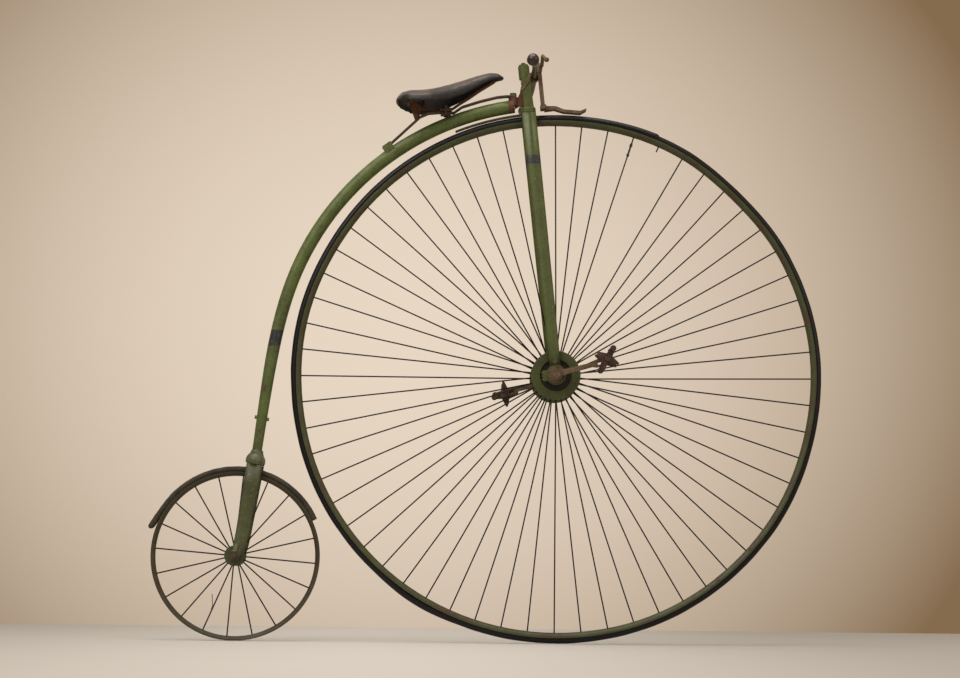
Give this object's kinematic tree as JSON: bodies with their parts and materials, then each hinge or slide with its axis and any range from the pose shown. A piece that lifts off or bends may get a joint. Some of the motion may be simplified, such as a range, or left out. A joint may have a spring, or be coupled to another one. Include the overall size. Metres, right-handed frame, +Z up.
{
  "type": "penny farthing bicycle",
  "caption": "Weathered high-wheeled bicycle: large solid-tyred front wheel with cranks, curved backbone, leather saddle, spoon brake and small rear wheel with a torn tyre.",
  "frame": {"origin": "the rider's seat point, on top of the saddle above its clamp", "axes": "+X forwards, the way it rides; +Y to the rider's left; +Z up; both wheels stand on one level plane"},
  "size_m": [1.6625, 0.67, 1.4546],
  "materials": {
    "paint_green": "old olive green paint, worn, chipped and rust-specked",
    "tyre_black": "hard old solid rubber, dull with a blue-grey sheen",
    "tyre_brown": "perished brown solid rubber",
    "leather_brown": "dry dark brown leather, scuffed",
    "horn_dark": "dark polished horn",
    "handlebar_dark": "dark worn paint over rust",
    "iron_brown": "brown rusted iron",
    "iron_rusty": "orange rusted iron",
    "pedal_dark": "dark rusted iron"
  },
  "bodies": {
    "frame": {"backbone": "paint_green", "steering_neck": "iron_rusty", "rear_crown": "paint_green", "rear_blade_left": "paint_green", "rear_blade_right": "paint_green", "rear_axle": "iron_brown", "rear_axle_nuts": "iron_brown", "step_stud": "paint_green", "saddle_leather": "leather_brown", "saddle_frame": "iron_rusty", "saddle_clamp": "iron_brown", "saddle_spring": "iron_brown", "spring_bolt": "paint_green", "spring_clip": "paint_green"},
    "fork": {"fork_blade_left": "paint_green", "fork_blade_right": "paint_green", "fork_crown": "paint_green", "steering_head": "paint_green", "head_adjuster": "paint_green", "handlebar_lug": "paint_green", "handlebar": "handlebar_dark", "grip_left": "horn_dark", "grip_right": "horn_dark", "brake_bracket": "iron_brown", "brake_lever": "iron_rusty", "brake_spoon": "iron_brown", "brake_spring": "iron_rusty", "front_guard": "paint_green", "bearing_housing_left": "paint_green", "bearing_housing_right": "paint_green", "bearing_bolts": "paint_green"},
    "front_wheel": {"front_tyre": "tyre_black", "front_rim": "paint_green", "front_spokes": "iron_brown", "front_hub": "paint_green", "front_axle": "iron_brown", "crank_left": "iron_rusty", "crank_right": "iron_rusty", "crank_cotters": "iron_brown", "pedal_pins": "iron_brown"},
    "pedal_left": {"pedal_left": "pedal_dark"},
    "pedal_right": {"pedal_right": "pedal_dark"},
    "rear_wheel": {"rear_rim": "paint_green", "rear_tyre_remnant": "tyre_brown", "rear_spokes": "iron_brown", "rear_hub": "paint_green"}
  },
  "joints": [
    {"name": "steering", "type": "hinge", "parent": "frame", "child": "fork", "pos_m": [0.2997, 0, -0.726], "axis": [-0.108, 0, 0.9942], "range_deg": [-30, 30]},
    {"name": "front_wheel_spin", "type": "hinge", "parent": "fork", "child": "front_wheel", "pos_m": [0.2997, 0, -0.726], "axis": [0, 1, 0], "continuous": true},
    {"name": "pedal_left_spin", "type": "hinge", "parent": "front_wheel", "child": "pedal_left", "pos_m": [0.18015, 0.146, -0.75893], "axis": [0, 1, 0], "continuous": true},
    {"name": "pedal_right_spin", "type": "hinge", "parent": "front_wheel", "child": "pedal_right", "pos_m": [0.41925, -0.146, -0.69307], "axis": [0, 1, 0], "continuous": true},
    {"name": "rear_wheel_spin", "type": "hinge", "parent": "frame", "child": "rear_wheel", "pos_m": [-0.48607, 0, -1.178], "axis": [0, 1, 0], "continuous": true}
  ]
}
